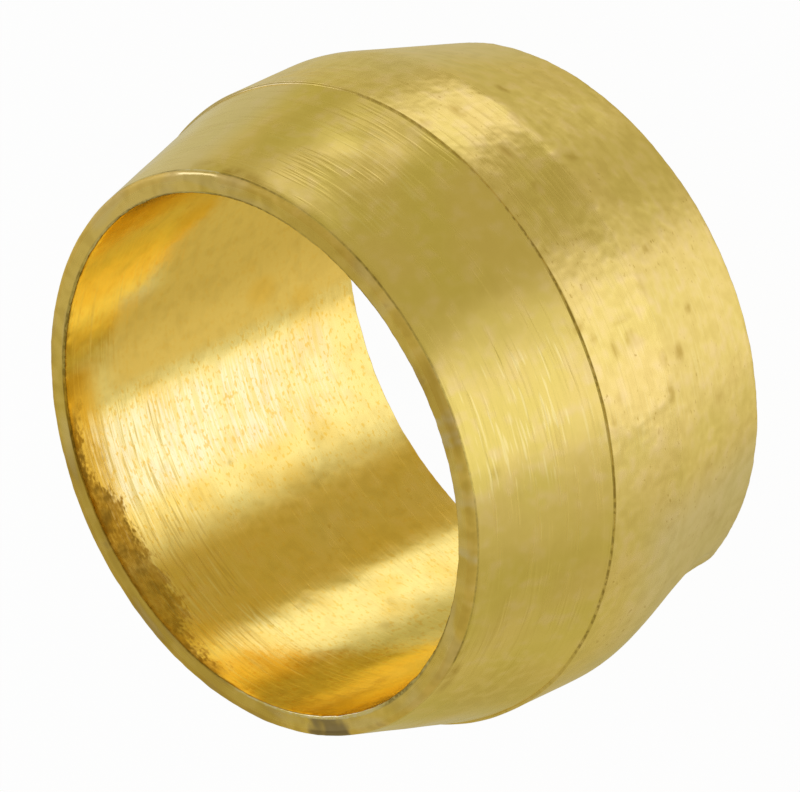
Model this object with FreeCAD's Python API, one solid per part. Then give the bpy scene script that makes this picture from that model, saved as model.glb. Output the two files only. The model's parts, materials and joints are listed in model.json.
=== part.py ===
import FreeCAD, Part
import math
import os

# Compression olive: a soft brass ring turned in one piece. It slides over a copper
# pipe, and its two tapers are squeezed into the cones of a fitting's body and nut.
# The ring's axis is Z, it stands on its rear end, and its front end is at the top.

# Driving dimensions, in millimetres
pipe_diameter = 10.0         # outside of the copper pipe that goes through the ring
pipe_clearance = 0.05        # gap between the pipe and the bore, on the radius
end_wall = 0.39              # wall at both ends, where the tapers are thinnest
land_wall = 1.15             # wall under the plain band between the two tapers
front_taper_length = 2.85    # along the axis, from the front rim to the land
land_length = 1.70           # the plain band between the tapers
rear_taper_length = 2.85     # along the axis, from the land to the rear rim
front_shoulder = 0.05        # step up to the land, left where the front cut stopped
rear_crease_radius = 1.50    # soft blend where the land runs into the rear taper
rim_edge_radius = 0.06       # rounding of the outer edge of each rim
bore_edge_radius = 0.04      # rounding of the bore's edge at each rim
shoulder_edge_radius = 0.02  # rounding of the shoulder's crest

# Sizes that follow from them
bore_radius = pipe_diameter / 2 + pipe_clearance
end_radius = bore_radius + end_wall
land_radius = bore_radius + land_wall
front_taper_radius = land_radius - front_shoulder
rear_crease_height = rear_taper_length
shoulder_height = rear_crease_height + land_length
overall_length = shoulder_height + front_taper_length


def point(radius, height):
    return FreeCAD.Vector(radius, 0, height)


def corner_arc(before, corner, after, radius):
    # Arc that is tangent to both sides of a corner
    back = (before - corner).normalize()
    ahead = (after - corner).normalize()
    half_angle = back.getAngle(ahead) / 2
    middle_direction = (back + ahead).normalize()
    tangent_length = radius / math.tan(half_angle)
    middle_length = radius / math.sin(half_angle) - radius
    start = corner + back * tangent_length
    middle = corner + middle_direction * middle_length
    end = corner + ahead * tangent_length
    return Part.Arc(start, middle, end)


def rounded_wire(corners):
    # Closed outline through (point, radius) corners, where a radius of 0 stays sharp
    arcs = []
    for index, (corner, radius) in enumerate(corners):
        before = corners[index - 1][0]
        after = corners[(index + 1) % len(corners)][0]
        arcs.append(corner_arc(before, corner, after, radius) if radius else None)
    edges = []
    for index, (corner, radius) in enumerate(corners):
        following = (index + 1) % len(corners)
        start = arcs[index].EndPoint if arcs[index] else corner
        end = arcs[following].StartPoint if arcs[following] else corners[following][0]
        if arcs[index]:
            edges.append(arcs[index].toShape())
        edges.append(Part.LineSegment(start, end).toShape())
    return Part.Wire(edges)


def olive():
    # Half section of the wall, from the bore's rear edge round to the start again
    section = rounded_wire([
        (point(bore_radius, 0), bore_edge_radius),
        (point(bore_radius, overall_length), bore_edge_radius),
        (point(end_radius, overall_length), rim_edge_radius),
        (point(front_taper_radius, shoulder_height), 0),
        (point(land_radius, shoulder_height), shoulder_edge_radius),
        (point(land_radius, rear_crease_height), rear_crease_radius),
        (point(end_radius, 0), rim_edge_radius),
    ])
    return Part.Face(section).revolve(FreeCAD.Vector(0, 0, 0), FreeCAD.Vector(0, 0, 1), 360)


os.makedirs("parts", exist_ok=True)
olive().exportStep("parts/olive.step")
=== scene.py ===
import json
import math

import bmesh
import bpy
import numpy as np
from mathutils import Matrix, Vector


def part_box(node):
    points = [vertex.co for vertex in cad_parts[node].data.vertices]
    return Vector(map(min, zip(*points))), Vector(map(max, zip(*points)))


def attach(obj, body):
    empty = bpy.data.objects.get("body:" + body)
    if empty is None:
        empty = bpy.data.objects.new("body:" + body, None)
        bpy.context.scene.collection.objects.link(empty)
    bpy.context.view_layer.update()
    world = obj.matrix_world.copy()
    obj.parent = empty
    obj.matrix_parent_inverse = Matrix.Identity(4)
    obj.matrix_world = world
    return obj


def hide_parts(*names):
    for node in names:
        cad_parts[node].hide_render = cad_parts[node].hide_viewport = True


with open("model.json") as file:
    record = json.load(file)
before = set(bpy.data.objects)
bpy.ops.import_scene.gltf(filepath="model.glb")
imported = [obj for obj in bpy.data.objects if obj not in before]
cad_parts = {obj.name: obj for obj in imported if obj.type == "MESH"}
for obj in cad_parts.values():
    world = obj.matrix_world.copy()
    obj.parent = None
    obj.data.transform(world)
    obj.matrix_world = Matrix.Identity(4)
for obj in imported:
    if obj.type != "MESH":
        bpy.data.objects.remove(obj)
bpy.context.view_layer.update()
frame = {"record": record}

mm = 0.001
scene = bpy.context.scene
mounts = {mount["name"]: mount for mount in frame["record"]["mounts"]}
boxLow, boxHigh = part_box("olive")


# node helpers, shared by the ring, its brass and the studio

def addNode(tree, kind, **settings):
    node = tree.nodes.new(kind)
    for name, value in settings.items():
        setattr(node, name, value)
    return node


def feed(tree, socket, value):
    # a socket is linked, anything else is written on the input itself
    if isinstance(value, bpy.types.NodeSocket):
        tree.links.new(value, socket)
    else:
        socket.default_value = value


def calc(tree, operation, *values, clamp=False):
    node = addNode(tree, "ShaderNodeMath", operation=operation, use_clamp=clamp)
    for socket, value in zip(node.inputs, values):
        feed(tree, socket, value)
    return node.outputs[0]


def product(tree, first, *others):
    for other in others:
        first = calc(tree, "MULTIPLY", first, other)
    return first


def total(tree, first, *others):
    for other in others:
        first = calc(tree, "ADD", first, other)
    return first


def ramp(tree, value, low, high, toLow=0.0, toHigh=1.0):
    # smooth step from toLow at low to toHigh at high
    node = addNode(tree, "ShaderNodeMapRange", interpolation_type="SMOOTHSTEP")
    for socket, item in zip(node.inputs, (value, low, high, toLow, toHigh)):
        feed(tree, socket, item)
    return node.outputs[0]


def between(tree, value, low, high, soft):
    # 1 from low to high, fading to 0 over soft on both sides
    return product(tree, ramp(tree, value, low - soft, low), ramp(tree, value, high + soft, high))


def vectorOf(tree, x, y, z):
    node = addNode(tree, "ShaderNodeCombineXYZ")
    for socket, value in zip(node.inputs, (x, y, z)):
        feed(tree, socket, value)
    return node.outputs[0]


def noise(tree, vector, scale=1.0, detail=2.0, roughness=0.5):
    node = addNode(tree, "ShaderNodeTexNoise")
    feed(tree, node.inputs["Vector"], vector)
    node.inputs["Scale"].default_value = scale
    node.inputs["Detail"].default_value = detail
    node.inputs["Roughness"].default_value = roughness
    return node.outputs[0]


def mixColour(tree, share, first, second):
    node = addNode(tree, "ShaderNodeMix", data_type="RGBA")
    feed(tree, node.inputs["Factor"], share)
    for socket, colour in zip((node.inputs[6], node.inputs[7]), (first, second)):
        feed(tree, socket, colour if isinstance(colour, bpy.types.NodeSocket) else (*colour, 1))
    return node.outputs[2]


# the ring

olive = {
    "boreRadius": mounts["pipe_bore"]["dims"]["r_mm"] * mm,
    "landRadius": boxHigh.x,
    "length": boxHigh.z - boxLow.z,
    "endWall": 0.39 * mm,
    "frontTaper": 2.85 * mm,
    "rearTaper": 2.85 * mm,
    "shoulder": 0.04 * mm,
    "rearCrease": 1.5 * mm,
    "frontEdge": 0.13 * mm,
    "rearEdge": 0.06 * mm,
    "boreEdge": 0.04 * mm,
    "shoulderEdge": 0.02 * mm,
    "cornerRun": 0.02 * mm,
    "skew": 0.15 * mm,
    "skewTurn": math.radians(-60),
    "outOfRound": 0.02 * mm,
    "burr": 0.07 * mm,
    "burrReach": 0.12 * mm,
    "burrScale": 12.0,
    "burrShift": 900.0,
    "dents": 0.03 * mm,
    "dentScale": 0.75,
    "sideDent": 0.2 * mm,
    "sideDentTurn": math.radians(187.25),
    "sideDentHalfTurn": math.radians(19.85),
    "sideDentHeight": 1.26 * mm,
    "sideDentHalfHeight": 1.43 * mm,
    "sideDentFlat": 0.69,
    "segments": 480,
    "spacing": 0.10 * mm,
    "edgePoints": 4,
    "weld": 1e-8,
}


def sectionCorners():
    # half section of the wall as (radius, height, rounding), bore first
    endRadius = olive["boreRadius"] + olive["endWall"]
    shoulderHeight = olive["length"] - olive["frontTaper"]
    shoulderRadius = olive["landRadius"] - olive["shoulder"]
    # one more point on the taper keeps the shading of the corner next to it
    rise = (shoulderRadius - endRadius) / olive["frontTaper"]
    run = olive["cornerRun"]
    return [
        (olive["boreRadius"], 0, olive["boreEdge"]),
        (olive["boreRadius"], olive["length"], olive["boreEdge"]),
        (endRadius, olive["length"], olive["frontEdge"]),
        (shoulderRadius - rise * run, shoulderHeight + run, 0),
        (shoulderRadius, shoulderHeight, 0),
        (olive["landRadius"], shoulderHeight, olive["shoulderEdge"]),
        (olive["landRadius"], olive["rearTaper"], olive["rearCrease"]),
        (endRadius, 0, olive["rearEdge"]),
    ]


def makeTurningTree():
    # turns the closed section round Z
    tree = bpy.data.node_groups.new("turnSection", "GeometryNodeTree")
    sockets = {
        "Section": "Geometry",
        "Segments": "Int",
        "Spacing": "Float",
        "Edge Points": "Int",
        "Skew": "Float",
        "Out Of Round": "Float",
        "Burr": "Float",
        "Dents": "Float",
        "Side Dent": "Float",
        "Brass": "Material",
    }
    for name, kind in sockets.items():
        tree.interface.new_socket(name, in_out="INPUT", socket_type="NodeSocket" + kind)
    tree.interface.new_socket("Ring", in_out="OUTPUT", socket_type="NodeSocketGeometry")
    given = addNode(tree, "NodeGroupInput").outputs
    result = addNode(tree, "NodeGroupOutput").inputs

    # section as a curve with rounded corners
    section = addNode(tree, "GeometryNodeMeshToCurve")
    feed(tree, section.inputs["Mesh"], given["Section"])
    rounding = addNode(tree, "GeometryNodeInputNamedAttribute", data_type="FLOAT")
    rounding.inputs["Name"].default_value = "rounding"
    fillet = addNode(tree, "GeometryNodeFilletCurve", mode="POLY")
    feed(tree, fillet.inputs["Curve"], section.outputs[0])
    feed(tree, fillet.inputs["Count"], given["Edge Points"])
    feed(tree, fillet.inputs["Radius"], rounding.outputs["Attribute"])

    # long runs are cut to the spacing
    place = addNode(tree, "GeometryNodeInputPosition").outputs[0]
    index = addNode(tree, "GeometryNodeInputIndex").outputs[0]
    following = addNode(tree, "GeometryNodeOffsetPointInCurve")
    feed(tree, following.inputs["Point Index"], index)
    following.inputs["Offset"].default_value = 1
    nextPlace = addNode(tree, "GeometryNodeFieldAtIndex", data_type="FLOAT_VECTOR")
    feed(tree, nextPlace.inputs["Value"], place)
    feed(tree, nextPlace.inputs["Index"], following.outputs["Point Index"])
    run = addNode(tree, "ShaderNodeVectorMath", operation="DISTANCE")
    feed(tree, run.inputs[0], place)
    feed(tree, run.inputs[1], nextPlace.outputs[0])
    cuts = calc(tree, "FLOOR", calc(tree, "DIVIDE", run.outputs["Value"], given["Spacing"]))
    divided = addNode(tree, "GeometryNodeSubdivideCurve")
    feed(tree, divided.inputs["Curve"], fillet.outputs[0])
    feed(tree, divided.inputs["Cuts"], cuts)

    # radius and height are kept from the section, the turn from the circle
    kept = addNode(tree, "GeometryNodeCaptureAttribute", domain="POINT")
    kept.capture_items.new("VECTOR", "Section Place")
    feed(tree, kept.inputs["Geometry"], divided.outputs[0])
    feed(tree, kept.inputs[1], place)
    circle = addNode(tree, "GeometryNodeCurvePrimitiveCircle", mode="RADIUS")
    feed(tree, circle.inputs["Resolution"], given["Segments"])
    turned = addNode(tree, "GeometryNodeCaptureAttribute", domain="POINT")
    turned.capture_items.new("FLOAT", "Turn")
    parameter = addNode(tree, "GeometryNodeSplineParameter")
    feed(tree, turned.inputs["Geometry"], circle.outputs[0])
    feed(tree, turned.inputs[1], parameter.outputs["Factor"])
    sweep = addNode(tree, "GeometryNodeCurveToMesh")
    feed(tree, sweep.inputs["Curve"], turned.outputs["Geometry"])
    feed(tree, sweep.inputs["Profile Curve"], kept.outputs["Geometry"])

    parts = addNode(tree, "ShaderNodeSeparateXYZ")
    feed(tree, parts.inputs[0], kept.outputs[1])
    angle = calc(tree, "MULTIPLY", turned.outputs[1], 2 * math.pi)
    radius, height = parts.outputs["X"], parts.outputs["Z"]
    across, upward = calc(tree, "COSINE", angle), calc(tree, "SINE", angle)

    # the land sits a little askew: it leans back on one side, and the ends stay square
    lean = calc(tree, "COSINE", calc(tree, "SUBTRACT", angle, olive["skewTurn"]))
    fromFront = calc(tree, "SUBTRACT", olive["length"], height)
    fromFront = calc(tree, "DIVIDE", fromFront, olive["frontTaper"])
    fromEnds = calc(tree, "MINIMUM", calc(tree, "DIVIDE", height, olive["rearTaper"]), fromFront)
    leanShare = calc(tree, "MINIMUM", fromEnds, 1.0)
    height = calc(tree, "SUBTRACT", height, product(tree, given["Skew"], lean, leanShare))

    # soft brass is never quite round: two and three shallow lobes
    twoLobes = calc(tree, "MULTIPLY", calc(tree, "COSINE", calc(tree, "MULTIPLY", angle, 2.0)), -1.0)
    threeLobes = calc(tree, "COSINE", calc(tree, "MULTIPLY", angle, 3.0))
    radius = total(tree, radius, product(tree, given["Out Of Round"], total(tree, twoLobes, threeLobes)))

    # ragged burr on both edges of the rims, not the same on the two
    roundPlace = vectorOf(tree, across, upward, calc(tree, "MULTIPLY", radius, olive["burrShift"]))
    ragged = calc(tree, "SUBTRACT", noise(tree, roundPlace, olive["burrScale"], 4.0, 0.65), 0.5)
    middle = olive["length"] / 2
    fromMiddle = calc(tree, "ABSOLUTE", calc(tree, "SUBTRACT", height, middle))
    nearEnd = ramp(tree, fromMiddle, middle - olive["burrReach"], middle)
    radius = total(tree, radius, product(tree, given["Burr"], ragged, nearEnd))

    # shallow dents from handling, deeper on the outside
    turnedPlace = vectorOf(tree, product(tree, radius, across), product(tree, radius, upward), height)
    dentPlace = addNode(tree, "ShaderNodeVectorMath", operation="SCALE")
    feed(tree, dentPlace.inputs[0], turnedPlace)
    dentPlace.inputs["Scale"].default_value = 1 / mm
    dent = calc(tree, "SUBTRACT", noise(tree, dentPlace.outputs[0], olive["dentScale"], 1.0), 0.5)
    dentShare = ramp(tree, radius, olive["boreRadius"], olive["boreRadius"] + olive["endWall"])
    dentStrength = calc(tree, "MULTIPLY_ADD", dentShare, 0.65, 0.35)
    radius = total(tree, radius, product(tree, given["Dents"], dent, dentStrength))

    # one knock in the rear taper, with a flat bottom
    turnAway = calc(tree, "SUBTRACT", angle, olive["sideDentTurn"])
    turnAway = calc(tree, "DIVIDE", turnAway, olive["sideDentHalfTurn"])
    heightAway = calc(tree, "SUBTRACT", height, olive["sideDentHeight"])
    heightAway = calc(tree, "DIVIDE", heightAway, olive["sideDentHalfHeight"])
    squares = total(tree, product(tree, turnAway, turnAway), product(tree, heightAway, heightAway))
    knockAway = calc(tree, "SQRT", squares)
    knockShare = ramp(tree, knockAway, 1.0, olive["sideDentFlat"])
    knock = product(tree, given["Side Dent"], knockShare, dentShare)
    radius = calc(tree, "SUBTRACT", radius, knock)

    x = calc(tree, "MULTIPLY", radius, across)
    y = calc(tree, "MULTIPLY", radius, upward)
    placed = addNode(tree, "GeometryNodeSetPosition")
    feed(tree, placed.inputs["Geometry"], sweep.outputs[0])
    feed(tree, placed.inputs["Position"], vectorOf(tree, x, y, height))

    shaded = addNode(tree, "GeometryNodeSetShadeSmooth")
    feed(tree, shaded.inputs["Geometry"], placed.outputs[0])
    real = addNode(tree, "GeometryNodeRealizeInstances")
    feed(tree, real.inputs[0], shaded.outputs[0])
    finished = addNode(tree, "GeometryNodeSetMaterial")
    feed(tree, finished.inputs["Geometry"], real.outputs[0])
    feed(tree, finished.inputs["Material"], given["Brass"])
    feed(tree, result["Ring"], finished.outputs[0])
    return tree


def makeRing(material):
    corners = sectionCorners()
    count = len(corners)
    section = bpy.data.meshes.new("oliveSection")
    section.from_pydata(
        [(radius, 0, height) for radius, height, rounding in corners],
        [(index, (index + 1) % count) for index in range(count)],
        [],
    )
    rounding = section.attributes.new("rounding", "FLOAT", "POINT")
    rounding.data.foreach_set("value", [corner[2] for corner in corners])
    ring = bpy.data.objects.new("turnedOlive", section)
    scene.collection.objects.link(ring)

    tree = makeTurningTree()
    turning = ring.modifiers.new("turning", "NODES")
    turning.node_group = tree
    identifiers = {item.name: item.identifier for item in tree.interface.items_tree}
    settings = {
        "Segments": olive["segments"],
        "Spacing": olive["spacing"],
        "Edge Points": olive["edgePoints"],
        "Skew": olive["skew"],
        "Out Of Round": olive["outOfRound"],
        "Burr": olive["burr"],
        "Dents": olive["dents"],
        "Side Dent": olive["sideDent"],
        "Brass": material,
    }
    for name, value in settings.items():
        turning[identifiers[name]] = value

    evaluated = ring.evaluated_get(bpy.context.evaluated_depsgraph_get())
    mesh = bpy.data.meshes.new_from_object(evaluated)
    ring.modifiers.remove(turning)
    ring.data = mesh
    shell = bmesh.new()
    shell.from_mesh(mesh)
    bmesh.ops.remove_doubles(shell, verts=shell.verts, dist=olive["weld"])
    bmesh.ops.recalc_face_normals(shell, faces=shell.faces)
    shell.to_mesh(mesh)
    shell.free()
    markRing(mesh)
    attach(ring, "root")
    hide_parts("olive")
    return ring


# marks of use and making, and painted light and shade, held on the ring's points

# stains as (turn in degrees, mm behind the front rim, half turn, half length, strength)
stains = {
    "outside": [
        (-161, 0.26, 4, 0.14, 0.5),
        (-29, 0.07, 3.5, 0.10, 0.45),
        (-36, 0.13, 3, 0.08, 0.4),
        (-60, 0.06, 4, 0.10, 0.4),
        (-68, 0.11, 2.5, 0.08, 0.4),
        (-99, 0.07, 3, 0.10, 0.4),
        (-144, 6.4, 4, 0.25, 0.25),
        (-70, 4.15, 5, 0.4, 0.18),
        (-99, 3.6, 1.8, 0.1, 0.59),
        (-60, 3.9, 2.2, 0.1, 0.59),
        (-48, 3.9, 2.2, 0.12, 0.59),
        (-20, 0.25, 5, 0.2, 0.35),
        (-76, 5.9, 3, 0.3, 0.2),
        (-104.5, 5.13, 1.8, 0.14, 0.68),
        (-98.4, 5.8, 1, 0.12, 0.59),
        (-104, 4.62, 1.6, 0.1, 0.77),
        (-110, 4.6, 2.4, 0.1, 0.59),
        (-91.5, 4.75, 2.2, 0.1, 0.59),
        (-96, 3.2, 1, 0.1, 0.59),
        (-107, 3.35, 1.2, 0.1, 0.51),
        (-88, 3.5, 1, 0.12, 0.51),
        (-86, 5.4, 0.9, 0.15, 0.59),
        (-68.5, 3.9, 1.6, 0.12, 0.59),
        (-65.5, 5.1, 1.4, 0.2, 0.51),
        (-47.5, 3.12, 1.4, 0.1, 0.8),
        (-46, 5.3, 1.8, 0.12, 0.68),
        (-55, 4.7, 3, 0.1, 0.51),
        (-116, 6.1, 2, 0.2, 0.34),
        (-128, 5.6, 2.5, 0.2, 0.31),
        (-80, 6.5, 2, 0.25, 0.25),
        (-28, 0.22, 3, 0.1, 0.68),
        (-35, 0.16, 4, 0.07, 0.45),
        (-112, 0.6, 1.5, 0.1, 0.42),
        (-166, 1.5, 12, 1.3, 0.28),
        (-157, 0.21, 3, 0.14, 0.7),
        (-150, 0.12, 3, 0.1, 0.5),
        (-141, 6, 2.5, 0.2, 0.35),
        (-98.3, 4.05, 1.4, 0.14, 0.7),
        (-27, 0.16, 3, 0.14, 0.6),
        (-33, 0.2, 3, 0.14, 0.55),
        (-93, 3.0, 1.2, 0.12, 0.6),
        (-99.5, 4.1, 0.9, 0.35, 0.45),
        (-95, 4.0, 0.7, 0.3, 0.4),
        (-111, 3.1, 2.0, 0.1, 0.5),
    ],
    "orange": [
        (57, 5.1, 6, 0.7, 0.75),
        (62, 6.1, 4, 0.5, 0.7),
        (50, 4.8, 4, 0.5, 0.6),
        (53, 2.6, 5, 0.6, 0.25),
        (75, 5.0, 4, 0.5, 0.35),
        (92, 2.4, 5, 0.4, 0.45),
        (98, 4.6, 5, 0.5, 0.5),
        (85, 3.6, 3, 0.4, 0.35),
    ],
    "bore": [
        (107, 3.9, 6, 0.4, 0.3),
        (105, 5.6, 9, 0.55, 0.3),
        (91, 5.6, 5, 0.35, 0.3),
        (134, 0.9, 5, 0.35, 0.35),
        (87, 1.0, 5, 0.12, 0.35),
        (89, 0.2, 4, 0.2, 0.7),
        (96, 0.42, 4, 0.12, 0.5),
        (128, 0.1, 3, 0.2, 0.8),
        (115, 3.2, 0.8, 0.1, 0.5),
        (119, 4.5, 0.8, 0.1, 0.4),
        (88.5, 3.4, 0.8, 0.1, 0.5),
        (84, 1.9, 1.2, 0.08, 0.4),
        (93, 2.1, 1.6, 0.06, 0.4),
        (148, 2.4, 2.5, 0.3, 0.3),
        (158, 1.9, 2.0, 0.25, 0.35),
        (140, 1.0, 4.0, 0.15, 0.3),
        (75, 0.4, 11, 0.6, 0.38),
        (144, 0.5, 4.0, 0.5, 0.3),
        (139, 3.75, 2.5, 0.25, 0.45),
        (138.5, 2.0, 3, 0.2, 0.4),
        (133, 4.4, 2, 0.2, 0.3),
        (122.5, 2.85, 2.5, 0.15, 0.35),
        (150, 0.5, 5, 0.5, 0.35),
        (140, 1.6, 3, 0.6, 0.22),
        (50, 0.5, 3, 0.5, 0.22),
        (20, 0.6, 6, 0.6, 0.25),
        (100, 5.2, 6, 0.8, 0.35),
    ],
}


def smooth(value, low, high):
    # smooth step from 0 at low to 1 at high
    share = np.clip((value - low) / (high - low), 0, 1)
    return share * share * (3 - 2 * share)


def span(value, low, high, soft):
    # 1 from low to high, fading to 0 over soft on both sides
    return smooth(value, low - soft, low) * smooth(value, high + soft, high)


def arc(turn, low, high, soft):
    # the same for a turn in degrees, across the seam as well
    away = np.abs((turn - (low + high) / 2 + 180) % 360 - 180)
    return smooth(away, (high - low) / 2 + soft, (high - low) / 2)


def stainField(turn, behind, marks):
    field = np.zeros_like(turn)
    for markTurn, markBehind, halfTurn, halfLength, strength in marks:
        sideways = ((turn - markTurn + 180) % 360 - 180) / halfTurn
        away = np.hypot(sideways, (behind - markBehind) / halfLength)
        field = np.maximum(field, strength * smooth(away, 1.5, 0.2))
    return field


def markRing(mesh):
    place = np.empty(len(mesh.vertices) * 3)
    mesh.vertices.foreach_get("co", place)
    x, y, z = place.reshape(-1, 3).T / mm
    turn, radius = np.degrees(np.arctan2(y, x)), np.hypot(x, y)
    behind = olive["length"] / mm - z
    inBore = radius < olive["boreRadius"] / mm + 0.03
    stainOutside = stainField(turn, behind, stains["outside"])
    stainBore = stainField(turn, behind, stains["bore"])
    # dark along the shoulder's corner: dirt and painted shade
    shoulderDirtAndShade = np.maximum(arc(turn, -154, -120, 8), arc(turn, -103, -72, 8))
    faintDirtAndShade = 0.3 * arc(turn, -170, -34, 8) + 0.3 * arc(turn, -56, -36, 8)
    tarnish = np.maximum(arc(turn, 78, 116, 10), 0.85 * arc(turn, 116, 147, 6))
    tarnish = np.maximum(tarnish, arc(turn, -103, -90, 6))
    # more orange in the bore's dark gap between the bright bands: partly tarnish, partly painted shade
    gapOrange = 0.9 * arc(turn, 104, 118, 8)
    lipOrange = 0.9 * arc(turn, 58, 98, 5) * smooth(behind, 1.1, 0.4)
    cloudOrange = stainField(turn, behind, stains["orange"])
    sideReach = 0.15 * smooth(behind, 2.2, 1.2) + 0.2 * span(behind, 1.1, 1.6, 0.4)
    sideOrange = arc(turn, 120, 138, 4) * sideReach
    beige = 0.52 * np.maximum(
        arc(turn, 46, 62, 4) * smooth(behind, 0.8, 1.6), arc(turn, 20, 62, 4) * smooth(behind, 2.1, 2.8)
    )
    # lighter and yellower at the bore's sides and in one narrow band: painted reflection of light
    # bounced across the bore
    bounceSheen = 0.6 * np.maximum(arc(turn, -20, 20, 7), arc(turn, 160, 200, 7))
    bounceSheen = np.maximum(bounceSheen, 0.3 * arc(turn, 36, 43, 5) * span(behind, 0.3, 2.0, 0.5))
    # pale streaks painted as highlight in the bore's brightest band
    paleHighlightReach = np.maximum(span(behind, 1.0, 4.8, 0.8), 0.55 * span(behind, 1.0, 6.2, 0.8))
    # paler towards the silhouettes of both tapers: painted sheen of glancing light
    glancingSheen = np.maximum(0.45 * arc(turn, -175, -138, 14), 0.30 * arc(turn, -28, 5, 12))
    limbSheen = 0.5 * arc(turn, -12, 12, 12)
    # bright dashes painted as highlights where the two bright bands fall
    bandGlint = 0.55 * arc(turn, -114, -95, 5) + 0.2 * arc(turn, -58, -30, 6)
    scoredFront = arc(turn, 70, 122, 8) * span(behind, 0.5, 2.0, 0.4)
    byBore = radius < olive["boreRadius"] / mm + 0.2
    # pale where the rim's edges catch the light: painted highlight, partly wear
    wearAndGlintEdges = np.where(byBore, arc(turn, 140, 176, 8), arc(turn, -24, -15, 2))
    marks = {
        "stain": np.where(inBore, stainBore, stainOutside),
        "scored": np.maximum(scoredFront, 0.55 * arc(turn, 128, 160, 5) * span(behind, 0.3, 1.9, 0.3)),
        "speckShare": 0.28 + 0.34 * arc(turn, 67, 96, 6) + 0.22 * arc(turn, 108, 150, 6),
        "lipReach": 0.22 + 0.48 * arc(turn, 88, 110, 11),
        "lipShare": arc(turn, 70, 124, 10),
        "shoulderDirtAndShade": np.maximum(shoulderDirtAndShade, faintDirtAndShade),
        # dark along the rim's outer edge: dirt and painted shade
        "outerDirtAndShade": 0.15 + 0.55 * np.maximum(arc(turn, -152, -27, 3), arc(turn, -12, 12, 4)),
        "innerDirt": 0.75 - 0.5 * arc(turn, 138, 178, 8),
        "scuffShare": np.maximum(arc(turn, -137, -96, 4), 0.6 * arc(turn, -96, -66, 5)),
        "smearShare": arc(turn, 161.5, 165, 7),
        "tarnish": np.maximum(tarnish, 0.6 * arc(turn, -62, -48, 7)),
        "wearAndGlint": wearAndGlintEdges,
        "glancingSheen": np.maximum(glancingSheen * smooth(behind, 3.2, 4.8), limbSheen * smooth(behind, 3.3, 3.1)),
        "rimLight": arc(turn, -12, 42, 10),
        "orange": np.maximum.reduce([gapOrange, lipOrange, sideOrange, beige, cloudOrange]),
        "orangeCloud": arc(turn, 46, 134, 8),
        "paleHighlight": arc(turn, 72, 85, 6) * paleHighlightReach,
        "bounceSheen": bounceSheen,
        "glintShare": bandGlint * (0.35 + 0.65 * span(behind, 0.5, 2.4, 0.3)),
        "scratchShare": arc(turn, -115, -92, 4),
    }
    for name, values in marks.items():
        layer = mesh.attributes.new(name, "FLOAT", "POINT")
        layer.data.foreach_set("value", values.astype(np.float32))


# brass

brass = {
    "clean": (0.81, 0.60, 0.145),
    "greener": (0.78, 0.60, 0.12),
    "tan": (0.85, 0.63, 0.21),
    "bore": (0.90, 0.70, 0.18),
    "boreOrange": (0.83, 0.48, 0.035),
    "boreHighlight": (0.92, 0.86, 0.50),
    "boreBounceSheen": (0.96, 0.83, 0.38),
    "glint": (0.97, 0.81, 0.30),
    "lip": (0.35, 0.175, 0.010),
    "rim": (0.83, 0.60, 0.13),
    "rimLight": (0.95, 0.70, 0.19),
    "brown": (0.38, 0.215, 0.012),
    "darkBrown": (0.16, 0.10, 0.012),
    "greyDirt": (0.16, 0.125, 0.105),
    "greyScuffAndSheen": (0.76, 0.66, 0.42),
    "paleWearAndGlint": (0.88, 0.79, 0.50),
    "glancing": (1.0, 0.95, 0.62),
    "frontRoughness": 0.22,
    "landRoughness": 0.28,
    "rearRoughness": 0.33,
    "boreRoughness": 0.17,
    "leastRoughness": 0.07,
    # noise drawn out round the ring, as (length in mm, width in mm, shift, detail)
    "fineLines": (1.5, 0.045, 3.7, 1.0),
    "grooves": (1.9, 0.10, 27.1, 0.0),
    "patches": (1.3, 0.45, 11.3, 1.0),
    "grain": (0.11, 0.065, 51.3, 1.0),
    "chatter": (0.75, 0.05, 71.3, 1.0),
    # how strongly each surface has the tool's lines, dark dashes along them, mottled dents and dulling
    "lineShares": {"front": 1.0, "land": 0.45, "rear": 0.25, "bore": 0.12, "scored": 0.2},
    "dashShares": {"front": 0.05, "land": 0.08, "scored": 0.08, "scratch": 0.15},
    "mottleShares": {"land": 1.3, "rear": 1.0},
    "mottleEverywhere": 0.25,
    "dullShares": {"land": 0.10, "rear": 0.10, "bore": 0.08, "rim": 0.15},
    "dullEverywhere": 0.04,
    # heights of the surface's relief, in micrometres
    "lineDepth": 1.25,
    "grooveDepth": 1.45,
    "mottleDepth": 10.0,
    "waveDepth": 24.0,
    "scratchDepth": 1.6,
    # turning scratches, in mm behind the front rim
    "scratches": (1.34, 0.5, 3.9, 4.66),
}


def ringPlace(tree):
    # millimetres on the ring, from the object's own coordinates; along changes on every surface
    scaled = addNode(tree, "ShaderNodeVectorMath", operation="SCALE")
    feed(tree, scaled.inputs[0], addNode(tree, "ShaderNodeTexCoord").outputs["Object"])
    scaled.inputs["Scale"].default_value = 1 / mm
    parts = addNode(tree, "ShaderNodeSeparateXYZ")
    feed(tree, parts.inputs[0], scaled.outputs[0])
    x, y, z = parts.outputs
    radius = calc(tree, "SQRT", total(tree, product(tree, x, x), product(tree, y, y)))
    behind = calc(tree, "SUBTRACT", olive["length"] / mm, z)
    towards = total(
        tree,
        calc(tree, "MULTIPLY", x, math.cos(olive["skewTurn"])),
        calc(tree, "MULTIPLY", y, math.sin(olive["skewTurn"])),
    )
    lean = calc(tree, "MULTIPLY", calc(tree, "DIVIDE", towards, radius), olive["skew"] / mm)
    return {
        "point": scaled.outputs[0],
        "x": x,
        "y": y,
        "radius": radius,
        "behind": behind,
        "behindLand": calc(tree, "SUBTRACT", behind, lean),
        "along": total(tree, z, radius),
    }


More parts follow.
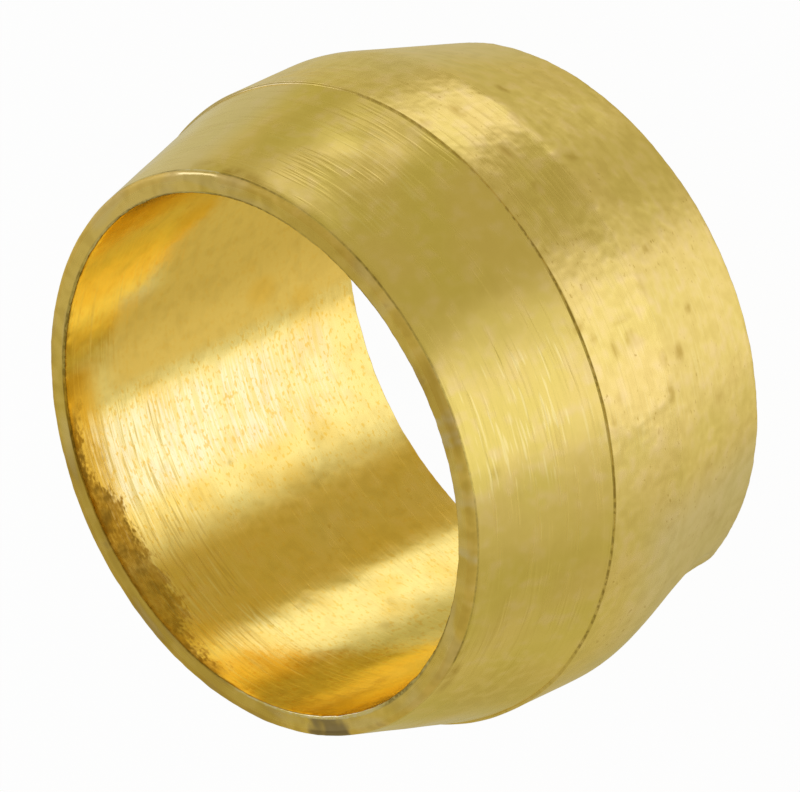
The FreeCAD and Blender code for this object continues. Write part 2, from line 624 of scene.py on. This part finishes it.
def streaks(tree, spot, lengthMm, widthMm, shift, detail):
    # noise drawn out round the ring
    x = calc(tree, "DIVIDE", spot["x"], lengthMm)
    y = calc(tree, "DIVIDE", spot["y"], lengthMm)
    across = calc(tree, "MULTIPLY_ADD", spot["along"], 1 / widthMm, shift)
    return noise(tree, vectorOf(tree, x, y, across), 1.0, detail)


def strongest(tree, first, *others):
    for other in others:
        first = calc(tree, "MAXIMUM", first, other)
    return first


def shared(tree, on, shares):
    # the surfaces' masks added up, each times its share
    return total(tree, *[calc(tree, "MULTIPLY", on[name], share) for name, share in shares.items()])


def held(tree, name):
    # one of the marks on the ring's points
    return addNode(tree, "ShaderNodeAttribute", attribute_name=name).outputs["Fac"]


def surfaces(tree, spot):
    # which surface of the ring a point is on, 1 on it and 0 off it
    behind, behindLand, radius = spot["behind"], spot["behindLand"], spot["radius"]
    boreRadius = olive["boreRadius"] / mm
    shoulderBehind = olive["frontTaper"] / mm
    creaseBehind = (olive["length"] - olive["rearTaper"]) / mm
    endRadius = boreRadius + olive["endWall"] / mm
    outer = ramp(tree, radius, boreRadius + 0.02, boreRadius + 0.05)
    rim = product(tree, outer, ramp(tree, behind, 0.11, 0.07))
    pastShoulder = ramp(tree, behindLand, shoulderBehind - 0.03, shoulderBehind)
    pastCrease = ramp(tree, behindLand, creaseBehind, creaseBehind + 0.1)
    byBore = ramp(tree, radius, boreRadius + 0.06, boreRadius + 0.025)
    innerEdge = product(tree, ramp(tree, behind, 0.07, 0.03), byBore)
    byShoulder = between(tree, behindLand, shoulderBehind - 0.008, shoulderBehind, 0.015)
    return {
        "bore": calc(tree, "SUBTRACT", 1.0, outer),
        "outer": outer,
        "rim": rim,
        "front": calc(tree, "SUBTRACT", calc(tree, "SUBTRACT", outer, rim), pastShoulder, clamp=True),
        "land": product(tree, outer, calc(tree, "SUBTRACT", pastShoulder, pastCrease)),
        "rear": product(tree, outer, pastCrease),
        "shoulder": product(tree, outer, byShoulder),
        "outerEdge": product(tree, outer, between(tree, behind, 0.10, 0.115, 0.025)),
        "innerEdge": innerEdge,
        "roundEdge": product(tree, rim, ramp(tree, radius, endRadius - 0.16, endRadius - 0.11)),
    }


def makeBrass():
    material = bpy.data.materials.new("turnedBrass")
    material.use_nodes = True
    tree = material.node_tree
    shader = tree.nodes["Principled BSDF"]
    spot = ringPlace(tree)
    on = surfaces(tree, spot)
    behind = spot["behind"]

    # relief of the cut: fine lines, wider grooves and mottled dents
    fine = ramp(tree, streaks(tree, spot, *brass["fineLines"]), 0.50, 0.74)
    groove = ramp(tree, streaks(tree, spot, *brass["grooves"]), 0.55, 0.78)
    mottle = noise(tree, spot["point"], 3.2, 1.0, 0.55)
    patch = streaks(tree, spot, *brass["patches"])
    blotch = noise(tree, spot["point"], 0.8, 1.0)
    grain = streaks(tree, spot, *brass["grain"])
    chatter = streaks(tree, spot, *brass["chatter"])
    on["scored"] = product(tree, on["bore"], held(tree, "scored"))
    lineShare = shared(tree, on, brass["lineShares"])
    mottleShare = total(tree, shared(tree, on, brass["mottleShares"]), brass["mottleEverywhere"])

    # single scratches, each a shallow line over part of a turn
    wandering = calc(tree, "MULTIPLY_ADD", mottle, 0.06, behind)
    scratch = 0.0
    for away in brass["scratches"]:
        offLine = calc(tree, "ABSOLUTE", calc(tree, "SUBTRACT", wandering, away + 0.03))
        scratch = total(tree, ramp(tree, offLine, 0.03, 0.0), scratch)
    on["scratch"] = product(tree, scratch, on["outer"], held(tree, "scratchShare"))

    # flat ochre specks in the bore and sparse brown spots outside
    speck = product(tree, ramp(tree, grain, 0.55, 0.70), on["bore"], held(tree, "speckShare"))
    behindFront = total(tree, on["land"], on["rear"])
    spots = product(tree, ramp(tree, grain, 0.66, 0.76), behindFront, 0.5)
    spots = product(tree, spots, ramp(tree, blotch, 0.40, 0.60))

    # short bright dashes painted as highlights in the bright bands and the scored bore, and dark ones
    # along the lines
    glintShare = product(tree, on["outer"], held(tree, "glintShare"))
    glintShare = total(tree, glintShare, calc(tree, "MULTIPLY", on["scored"], 0.5))
    glint = product(tree, ramp(tree, chatter, 0.58, 0.69), glintShare)
    dashShare = shared(tree, on, brass["dashShares"])
    scoredDash = product(tree, ramp(tree, chatter, 0.46, 0.33), on["scored"], 0.38)
    dash = strongest(tree, product(tree, fine, dashShare), scoredDash)

    # brown lip inside the front of the bore, deepest on one side
    ragged = calc(tree, "MULTIPLY_ADD", mottle, 2.0, -1.0)
    lipEdge = calc(tree, "SUBTRACT", held(tree, "lipReach"), behind)
    lipEdge = calc(tree, "MULTIPLY_ADD", ragged, 0.30, lipEdge)
    lipEdge = calc(tree, "MULTIPLY_ADD", calc(tree, "SUBTRACT", grain, 0.5), 0.5, lipEdge)
    lip = product(tree, ramp(tree, lipEdge, -0.12, 0.12), held(tree, "lipShare"), on["bore"])
    lip = product(tree, lip, ramp(tree, grain, 0.35, 0.62, 0.75, 1.0))

    # dirt and painted shade in the shoulder's corner and on the rim's outer edge, dirt on its inner edge
    dotted = ramp(tree, grain, 0.42, 0.58, 0.15, 1.0)
    uneven = ramp(tree, patch, 0.30, 0.65, 0.4, 1.0)
    cornerDirtAndShade = product(tree, on["shoulder"], dotted, held(tree, "shoulderDirtAndShade"), 0.5)
    edgeDirtAndShade = product(tree, on["outerEdge"], uneven, held(tree, "outerDirtAndShade"))
    edgeDirtAndShade = strongest(tree, edgeDirtAndShade, product(tree, on["innerEdge"], uneven, held(tree, "innerDirt")))
    edgeDirtAndShade = product(tree, edgeDirtAndShade, ramp(tree, grain, 0.40, 0.60, 0.6, 1.0))

    # rim: smear of grey dirt, grey scuffs across it, tarnish, and pale edges that are painted highlight
    # and partly wear
    facing = [calc(tree, "DIVIDE", spot[axis], spot["radius"]) for axis in "xy"]
    acrossRim = noise(tree, vectorOf(tree, *facing, 0.0), 17.0, 0.0)
    scuff = product(tree, on["rim"], ramp(tree, acrossRim, 0.48, 0.85), held(tree, "scuffShare"))
    scuff = product(tree, scuff, ramp(tree, mottle, 0.36, 0.60))
    smearEdge = calc(tree, "MULTIPLY_ADD", ragged, 0.8, held(tree, "smearShare"))
    smear = product(tree, on["rim"], ramp(tree, smearEdge, 0.30, 1.0))
    tarnish = product(tree, on["rim"], ramp(tree, patch, 0.32, 0.62, 0.25, 0.65), held(tree, "tarnish"))
    bothEdges = strongest(tree, on["innerEdge"], on["outerEdge"])
    wearAndGlint = product(tree, bothEdges, dotted, held(tree, "wearAndGlint"))
    greyed = product(tree, on["rim"], ramp(tree, patch, 0.48, 0.66, 0.0, 0.25))

    # colour
    outside = mixColour(tree, ramp(tree, blotch, 0.30, 0.70), brass["greener"], brass["clean"])
    tanShare = calc(tree, "MULTIPLY_ADD", behindFront, 0.25, ramp(tree, mottle, 0.45, 0.80, 0.0, 0.7))
    outside = mixColour(tree, tanShare, outside, brass["tan"])
    orange = strongest(
        tree,
        held(tree, "orange"),
        product(tree, ramp(tree, blotch, 0.42, 0.68, 0.0, 0.4), held(tree, "orangeCloud")),
    )
    inside = mixColour(tree, orange, brass["bore"], brass["boreOrange"])
    # painted highlight: pale streaks in the bore's brightest band
    paleHighlightStreaks = product(tree, ramp(tree, chatter, 0.40, 0.62, 0.15, 0.55), held(tree, "paleHighlight"))
    inside = mixColour(tree, paleHighlightStreaks, inside, brass["boreHighlight"])
    # painted reflection of light bounced across the bore
    inside = mixColour(tree, held(tree, "bounceSheen"), inside, brass["boreBounceSheen"])
    # painted sheen of glancing light towards the tapers' silhouettes
    outside = mixColour(tree, held(tree, "glancingSheen"), outside, brass["greyScuffAndSheen"])
    colour = mixColour(tree, on["bore"], outside, inside)
    rimPatches = ramp(tree, mottle, 0.48, 0.70, 0.0, 0.6)
    rimShare = calc(tree, "ADD", held(tree, "rimLight"), rimPatches, clamp=True)
    rimColour = mixColour(tree, rimShare, brass["rim"], brass["rimLight"])
    colour = mixColour(tree, calc(tree, "MULTIPLY", on["rim"], 0.8), colour, rimColour)
    colour = mixColour(tree, speck, colour, brass["boreOrange"])
    dullShare = total(tree, shared(tree, on, brass["dullShares"]), brass["dullEverywhere"])
    dull = product(tree, ramp(tree, mottle, 0.56, 0.30), dullShare)
    stain = product(tree, held(tree, "stain"), ramp(tree, mottle, 0.62, 0.38, 0.4, 1.0))
    marked = strongest(tree, dash, spots, tarnish, dull, stain)
    stained = strongest(tree, marked, lip)
    colour = mixColour(tree, calc(tree, "MULTIPLY", marked, 0.9), colour, brass["brown"])
    # painted highlights: the bright dashes
    colour = mixColour(tree, calc(tree, "MULTIPLY", glint, 0.8), colour, brass["glint"])
    colour = mixColour(tree, calc(tree, "MULTIPLY", lip, 0.9), colour, brass["lip"])
    # dirt and painted shade in the corner and on the edges, with dark spots in the lip
    dirtAndShade = strongest(tree, cornerDirtAndShade, edgeDirtAndShade, product(tree, lip, ramp(tree, mottle, 0.56, 0.36), 0.5))
    colour = mixColour(tree, dirtAndShade, colour, brass["darkBrown"])
    greyShare = strongest(tree, calc(tree, "MULTIPLY", scuff, 0.5), greyed)
    colour = mixColour(tree, greyShare, colour, brass["greyScuffAndSheen"])
    # pale edges: painted highlight, partly wear
    colour = mixColour(tree, calc(tree, "MULTIPLY", wearAndGlint, 0.6), colour, brass["paleWearAndGlint"])
    colour = mixColour(tree, calc(tree, "MULTIPLY", smear, 0.7), colour, brass["greyDirt"])

    # roughness by surface, combed by the lines and dulled by the dirt and painted shade
    front = brass["frontRoughness"]
    roughness = total(
        tree,
        calc(tree, "MULTIPLY_ADD", on["bore"], brass["boreRoughness"] - front, front),
        calc(tree, "MULTIPLY", on["land"], brass["landRoughness"] - front),
        calc(tree, "MULTIPLY", on["rear"], brass["rearRoughness"] - front),
        calc(tree, "MULTIPLY_ADD", fine, 0.10, -0.03),
        calc(tree, "MULTIPLY_ADD", mottle, 0.12, -0.06),
        calc(tree, "MULTIPLY", stained, 0.12),
        calc(tree, "MULTIPLY", strongest(tree, smear, dirtAndShade), 0.2),
        product(tree, on["roundEdge"], calc(tree, "SUBTRACT", 1.0, held(tree, "wearAndGlint")), 0.35),
    )
    roughness = calc(tree, "MAXIMUM", roughness, brass["leastRoughness"])

    # height in micrometres
    grooves = calc(tree, "MULTIPLY", groove, brass["grooveDepth"])
    lines = calc(tree, "MULTIPLY_ADD", fine, brass["lineDepth"], grooves)
    height = total(
        tree,
        product(tree, lines, lineShare, ramp(tree, patch, 0.36, 0.62, 0.25, 1.15)),
        product(tree, mottle, mottleShare, brass["mottleDepth"]),
        calc(tree, "MULTIPLY", blotch, brass["waveDepth"]),
        calc(tree, "MULTIPLY", on["scratch"], -brass["scratchDepth"]),
    )
    bump = addNode(tree, "ShaderNodeBump")
    bump.inputs["Distance"].default_value = 0.001 * mm
    feed(tree, bump.inputs["Height"], height)

    feed(tree, shader.inputs["Base Color"], colour)
    feed(tree, shader.inputs["Roughness"], roughness)
    feed(tree, shader.inputs["Normal"], bump.outputs[0])
    shader.inputs["Metallic"].default_value = 1.0
    shader.inputs["Specular Tint"].default_value = (*brass["glancing"], 1)
    return material


# studio

studio = {
    "floorHalf": 150 * mm,
    "floorWhite": 0.97,
    "floorColour": (0.9, 0.9, 0.9),
}


def makeFloor():
    half = studio["floorHalf"]
    mesh = bpy.data.meshes.new("floor")
    corners = [(-half, -half, 0), (half, -half, 0), (half, half, 0), (-half, half, 0)]
    mesh.from_pydata(corners, [], [(0, 1, 2, 3)])
    floor = bpy.data.objects.new("floor", mesh)
    scene.collection.objects.link(floor)
    material = bpy.data.materials.new("paleFloor")
    material.use_nodes = True
    tree = material.node_tree
    tree.nodes.clear()
    diffuse = addNode(tree, "ShaderNodeBsdfDiffuse")
    diffuse.inputs["Color"].default_value = (*studio["floorColour"], 1)
    white = addNode(tree, "ShaderNodeEmission")
    mix = addNode(tree, "ShaderNodeMixShader")
    path = addNode(tree, "ShaderNodeLightPath").outputs
    seen = calc(tree, "MAXIMUM", path["Is Camera Ray"], path["Is Glossy Ray"])
    seen = calc(tree, "MAXIMUM", seen, path["Is Transmission Ray"])
    feed(tree, mix.inputs[0], calc(tree, "MULTIPLY", seen, studio["floorWhite"]))
    feed(tree, mix.inputs[1], diffuse.outputs[0])
    feed(tree, mix.inputs[2], white.outputs[0])
    out = addNode(tree, "ShaderNodeOutputMaterial")
    feed(tree, out.inputs["Surface"], mix.outputs[0])
    mesh.materials.append(material)
    # part of the sky's softboxes is below the floor's level, so it neither hides nor shades them
    floor.visible_glossy = False
    floor.visible_shadow = False


# softboxes as bands of the sky, brighter than its own colour
# height: where a band starts, is full, starts to fade and ends, in degrees above level
# levels: (side, level) in degrees round from the viewer's side at 0
sky = {
    "colour": (0.53, 0.51, 0.41),
    "softboxColour": (0.93, 1.0, 1.7),
    "softboxes": {
        "middle": {
            "height": (-62, -54, -24, -16),
            "levels": [
                (-150, 0.0), (-120, 0.12), (-82, 0.12), (-60, 0.29), (-49, 0.27), (-45, 0.74),
                (0, 0.74), (27, 0.0), (63, 0.0), (70, 0.76), (86, 0.76), (108, 0.02),
                (130, 0.14), (165, 0.14), (179, 0.0),
            ],
        },
        "upper": {
            "height": (-20, -14, -6, 2),
            "levels": [(-80, 0.0), (-60, 0.15), (-50, 0.22), (-28, 0.70), (-14, 0.70), (21, 0.0)],
        },
        "under": {
            "height": (-90, -85, -62, -54),
            "levels": [
                (-170, 0.0), (-140, 0.2), (-110, 0.2), (-60, 0.62), (5, 0.62), (52, 0.02),
                (75, 0.06), (100, 0.08), (140, 0.0),
            ],
        },
        "edge": {
            "height": (4, 10, 22, 30),
            "levels": [(104, 0.0), (112, 1.05), (132, 1.05), (142, 0.0)],
        },
    },
}


def makeSky():
    world = bpy.data.worlds.new("studioSky")
    world.use_nodes = True
    tree = world.node_tree
    background = tree.nodes["Background"]
    parts = addNode(tree, "ShaderNodeSeparateXYZ")
    feed(tree, parts.inputs[0], addNode(tree, "ShaderNodeTexCoord").outputs["Generated"])
    x, y, z = parts.outputs
    side = calc(tree, "ARCTAN2", x, calc(tree, "MULTIPLY", y, -1.0))
    side = calc(tree, "MULTIPLY_ADD", side, 0.5 / math.pi, 0.5)
    lit = 0.0
    for box in sky["softboxes"].values():
        levels = addNode(tree, "ShaderNodeValToRGB")
        feed(tree, levels.inputs[0], side)
        stops = levels.color_ramp.elements
        levels.color_ramp.interpolation = "EASE"
        stops.remove(stops[0])
        for turn, level in box["levels"]:
            stops.new(turn / 360 + 0.5).color = (level, level, level, 1)
        stops.remove(stops[-1])
        start, full, ending, end = [math.sin(math.radians(edge)) for edge in box["height"]]
        window = product(tree, ramp(tree, z, start, full), ramp(tree, z, end, ending))
        lit = calc(tree, "MULTIPLY_ADD", window, levels.outputs[0], lit)
    light = addNode(tree, "ShaderNodeVectorMath", operation="MULTIPLY_ADD")
    feed(tree, light.inputs[0], vectorOf(tree, lit, lit, lit))
    light.inputs[1].default_value = sky["softboxColour"]
    light.inputs[2].default_value = sky["colour"]
    feed(tree, background.inputs["Color"], light.outputs[0])
    background.inputs["Strength"].default_value = 1.0
    scene.world = world


# camera

photoView = {
    "imageSize": (800, 792),
    "rimCentrePixel": (258.7, 456.2),
    "pixelsPerMetre": 55030.0,
    "elevation": 39.04,
    "roll": 115.09,
    "distance": 436.8 * mm,
    "sensorWidth": 36.0,
    "clip": (0.01, 10.0),
}


def makeCamera():
    elevation, roll = math.radians(photoView["elevation"]), math.radians(photoView["roll"])
    back = Vector((0, -math.cos(elevation), math.sin(elevation)))
    level = Vector((1, 0, 0))
    steep = back.cross(level)
    right = level * math.cos(roll) - steep * math.sin(roll)
    up = level * math.sin(roll) + steep * math.cos(roll)
    width, height = photoView["imageSize"]
    across = (width / 2 - photoView["rimCentrePixel"][0]) / photoView["pixelsPerMetre"]
    above = (photoView["rimCentrePixel"][1] - height / 2) / photoView["pixelsPerMetre"]
    aim = Vector((0, 0, olive["length"])) + right * across + up * above
    data = bpy.data.cameras.new("photoCamera")
    data.sensor_width = photoView["sensorWidth"]
    data.lens = data.sensor_width * photoView["pixelsPerMetre"] * photoView["distance"] / width
    data.clip_start, data.clip_end = photoView["clip"]
    camera = bpy.data.objects.new("photoCamera", data)
    place = aim + back * photoView["distance"]
    camera.matrix_world = Matrix.Translation(place) @ Matrix((right, up, back)).transposed().to_4x4()
    scene.collection.objects.link(camera)
    scene.camera = camera


scene.view_settings.view_transform = "Standard"
turnedBrass = makeBrass()
print("brass:", len(turnedBrass.node_tree.nodes), "nodes")
ring = makeRing(turnedBrass)
print("ring:", len(ring.data.vertices), "points,", len(ring.data.polygons), "faces")
makeFloor()
makeSky()
makeCamera()
print("studio and camera are set")
